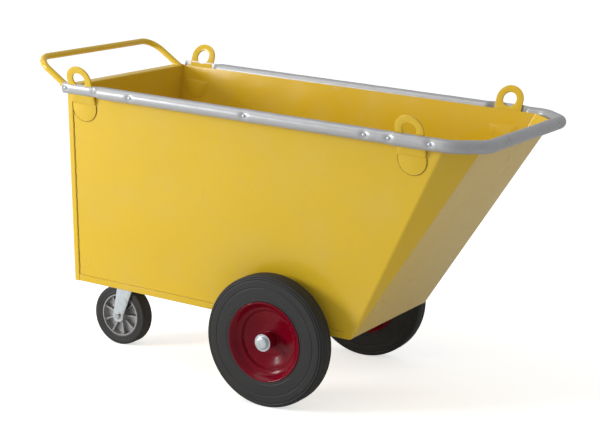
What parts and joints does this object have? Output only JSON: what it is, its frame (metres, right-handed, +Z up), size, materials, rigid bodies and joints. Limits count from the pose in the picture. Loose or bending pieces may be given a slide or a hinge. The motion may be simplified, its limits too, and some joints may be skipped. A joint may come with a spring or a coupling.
{
  "type": "hand tipping trolley",
  "caption": "Open sheet-steel tub with a sloped nose, rim tube, lifting eyes and push handle, on large side wheels and a rear swivel caster.",
  "frame": {"origin": "middle of the footprint of the whole trolley, on the ground", "axes": "+X towards the sloped nose, +Y to the left of someone pushing it, +Z up"},
  "size_m": [1.5428, 0.7178, 0.9881],
  "materials": {
    "yellow_paint": "semi-gloss yellow powder coat on sheet steel",
    "grey_tube": "satin grey, like galvanised tube",
    "red_paint": "glossy deep red enamel",
    "black_rubber": "matt solid rubber",
    "elastic_rubber": "matt elastic rubber",
    "cast_aluminium": "die-cast",
    "plain_steel": "bright drawn steel",
    "zinc_plate": "bright zinc plate"
  },
  "bodies": {
    "tub": {"axle_bracket_left": "yellow_paint", "axle_bracket_right": "yellow_paint", "axle_cap_left": "zinc_plate", "axle_cap_right": "zinc_plate", "axle_spacer_left": "plain_steel", "axle_spacer_right": "plain_steel", "axle_washer_left": "zinc_plate", "axle_washer_right": "zinc_plate", "caster_bolts": "zinc_plate", "caster_pad": "yellow_paint", "caster_plate": "zinc_plate", "floor_and_front": "yellow_paint", "king_pin": "zinc_plate", "lifting_eye_front_left": "yellow_paint", "lifting_eye_front_right": "yellow_paint", "lifting_eye_rear_left": "yellow_paint", "lifting_eye_rear_right": "yellow_paint", "main_axle": "plain_steel", "push_handle": "yellow_paint", "rear_wall": "yellow_paint", "rim_screws": "zinc_plate", "rim_tube": "grey_tube", "side_panel_left": "yellow_paint", "side_panel_right": "yellow_paint", "upper_race": "zinc_plate"},
    "wheel_right": {"tyre_right": "black_rubber", "wheel_rim_right": "red_paint", "wheel_disc_right": "red_paint", "hub_tube_right": "red_paint", "hub_bearings_right": "plain_steel"},
    "wheel_left": {"tyre_left": "black_rubber", "wheel_rim_left": "red_paint", "wheel_disc_left": "red_paint", "hub_tube_left": "red_paint", "hub_bearings_left": "plain_steel"},
    "caster_fork_body": {"caster_fork": "zinc_plate", "lower_race": "zinc_plate", "caster_axle_bolt": "zinc_plate", "caster_axle_nut": "zinc_plate", "caster_axle_sleeve": "plain_steel"},
    "caster_wheel_body": {"caster_tyre": "elastic_rubber", "caster_rim": "cast_aluminium", "caster_bearings": "plain_steel"}
  },
  "joints": [
    {"name": "wheel_right_spin", "type": "hinge", "parent": "tub", "child": "wheel_right", "pos_m": [0.08368, -0.30943, 0.2], "axis": [0, 1, 0], "continuous": true},
    {"name": "wheel_left_spin", "type": "hinge", "parent": "tub", "child": "wheel_left", "pos_m": [0.08368, 0.30943, 0.2], "axis": [0, 1, 0], "continuous": true},
    {"name": "caster_swivel", "type": "hinge", "parent": "tub", "child": "caster_fork_body", "pos_m": [-0.61532, 0, 0.2], "axis": [0, 0, 1], "continuous": true},
    {"name": "caster_wheel_spin", "type": "hinge", "parent": "caster_fork_body", "child": "caster_wheel_body", "pos_m": [-0.67032, 0, 0.1], "axis": [0, 1, 0], "continuous": true}
  ]
}
